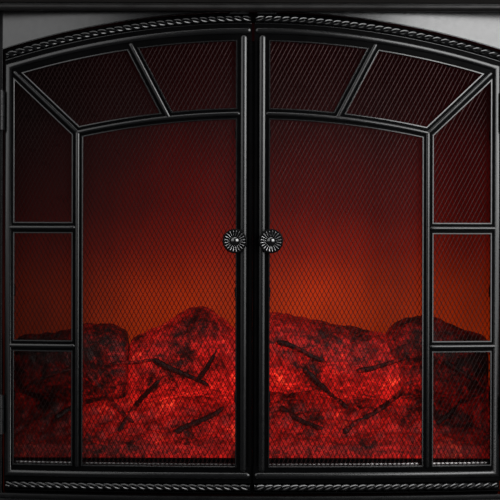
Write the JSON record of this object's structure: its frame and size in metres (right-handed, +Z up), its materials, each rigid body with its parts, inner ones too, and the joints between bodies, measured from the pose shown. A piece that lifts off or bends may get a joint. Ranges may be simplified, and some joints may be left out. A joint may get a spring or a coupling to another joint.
{
  "type": "fireplace screen",
  "caption": "Bow-fronted fireplace screen: black iron case, arched pair of hinged mesh doors with rope trim and knobs, and a lit ember bed that glows behind the mesh.",
  "frame": {"origin": "on the floor, midway across the width, in the plane of the outer front corners of the doors", "axes": "+X across the width to the right seen from the front, +Z up, the front faces -Y"},
  "size_m": [0.7, 0.202, 0.664],
  "materials": {
    "black_enamel": "satin black stove enamel",
    "case_sheet": "matt black powder coat",
    "top_lacquer": "board with satin black lacquer",
    "rope_trim": "satin black enamel",
    "mesh_steel": "dark heat-proof paint",
    "knob_iron": "satin black",
    "hinge_iron": "blackened",
    "bright_steel": "dark zinc",
    "catch_plastic": "matt",
    "foot_rubber": "matt",
    "ember_resin": "lit from below",
    "log_resin": "charred, lit from below",
    "glow_film": "diffusing, lit from below",
    "lamp_white": "diffuser"
  },
  "bodies": {
    "frame": {"base_plate": "case_sheet", "plinth_fascia": "black_enamel", "sill_plate": "black_enamel", "left_jamb": "black_enamel", "right_jamb": "black_enamel", "header": "black_enamel", "top_moulding": "top_lacquer", "top_plate": "top_lacquer", "left_side_panel": "case_sheet", "right_side_panel": "case_sheet", "back_panel": "case_sheet", "foot_pads": "foot_rubber", "jamb_hinge_leaves": "hinge_iron", "hinge_pins": "hinge_iron", "case_screws": "bright_steel", "magnet_catches": "catch_plastic", "ember_tray": "case_sheet", "ember_bed": "ember_resin", "far_left_log": "log_resin", "left_log": "log_resin", "right_log": "log_resin", "far_right_log": "log_resin", "glow_panel": "glow_film", "lamp_bar": "lamp_white", "power_inlet": "catch_plastic"},
    "left_door": {"left_arch_rail": "black_enamel", "left_bottom_rail": "black_enamel", "left_hinge_stile": "black_enamel", "left_meeting_stile": "black_enamel", "left_side_bar": "black_enamel", "left_inner_arch_bar": "black_enamel", "left_corner_bar": "black_enamel", "left_fan_bar": "black_enamel", "left_cross_bars": "black_enamel", "left_arch_rope": "rope_trim", "left_bottom_rope": "rope_trim", "left_mesh": "mesh_steel", "left_mesh_clips": "case_sheet", "left_knob": "knob_iron", "left_knob_screw": "bright_steel", "left_hinge_leaves": "hinge_iron", "left_catch_plate": "bright_steel"},
    "right_door": {"right_arch_rail": "black_enamel", "right_bottom_rail": "black_enamel", "right_hinge_stile": "black_enamel", "right_meeting_stile": "black_enamel", "right_side_bar": "black_enamel", "right_inner_arch_bar": "black_enamel", "right_corner_bar": "black_enamel", "right_fan_bar": "black_enamel", "right_cross_bars": "black_enamel", "right_arch_rope": "rope_trim", "right_bottom_rope": "rope_trim", "right_mesh": "mesh_steel", "right_mesh_clips": "case_sheet", "right_knob": "knob_iron", "right_knob_screw": "bright_steel", "right_hinge_leaves": "hinge_iron", "right_catch_plate": "bright_steel"}
  },
  "joints": [
    {"name": "left_door_hinge", "type": "hinge", "parent": "frame", "child": "left_door", "pos_m": [-0.3145, -0.0045, 0.325], "axis": [0, 0, -1], "range_deg": [0, 110]},
    {"name": "right_door_hinge", "type": "hinge", "parent": "frame", "child": "right_door", "pos_m": [0.3145, -0.0045, 0.325], "axis": [0, 0, 1], "range_deg": [0, 110]}
  ]
}
